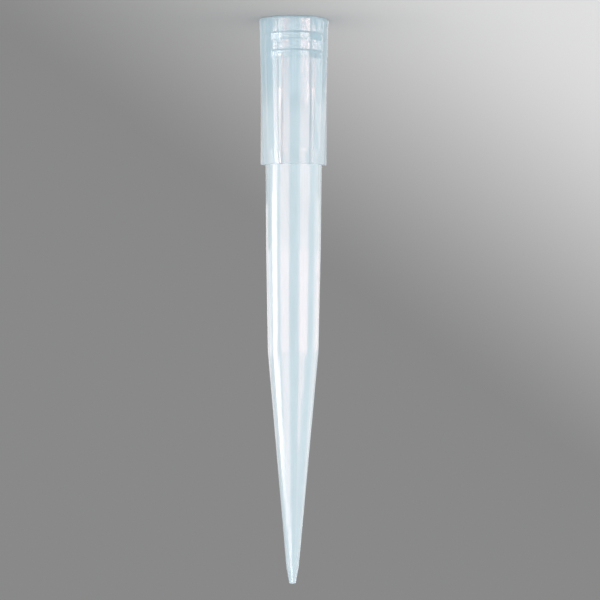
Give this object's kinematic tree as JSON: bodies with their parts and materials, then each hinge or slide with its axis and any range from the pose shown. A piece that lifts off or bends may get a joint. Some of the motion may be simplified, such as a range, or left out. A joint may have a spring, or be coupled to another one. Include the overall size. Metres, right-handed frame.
{
  "type": "pipette tip",
  "caption": "Translucent pale blue pipette tip for drawing up and dispensing liquid: ribbed collar with a sealing socket, straight body and long tapering nose with a fine orifice.",
  "frame": {"origin": "centre of the rim's face, on the tip's own axis", "axes": "+Z along the tip's axis from the rim to the orifice; +X through the middle of one rib"},
  "size_m": [0.0088, 0.0088, 0.071],
  "materials": {
    "pale_blue_polypropylene": "translucent injection moulded polypropylene, glossy, tinted a very pale blue"
  },
  "bodies": {
    "root": {"pipette_tip": "pale_blue_polypropylene"}
  },
  "joints": []
}
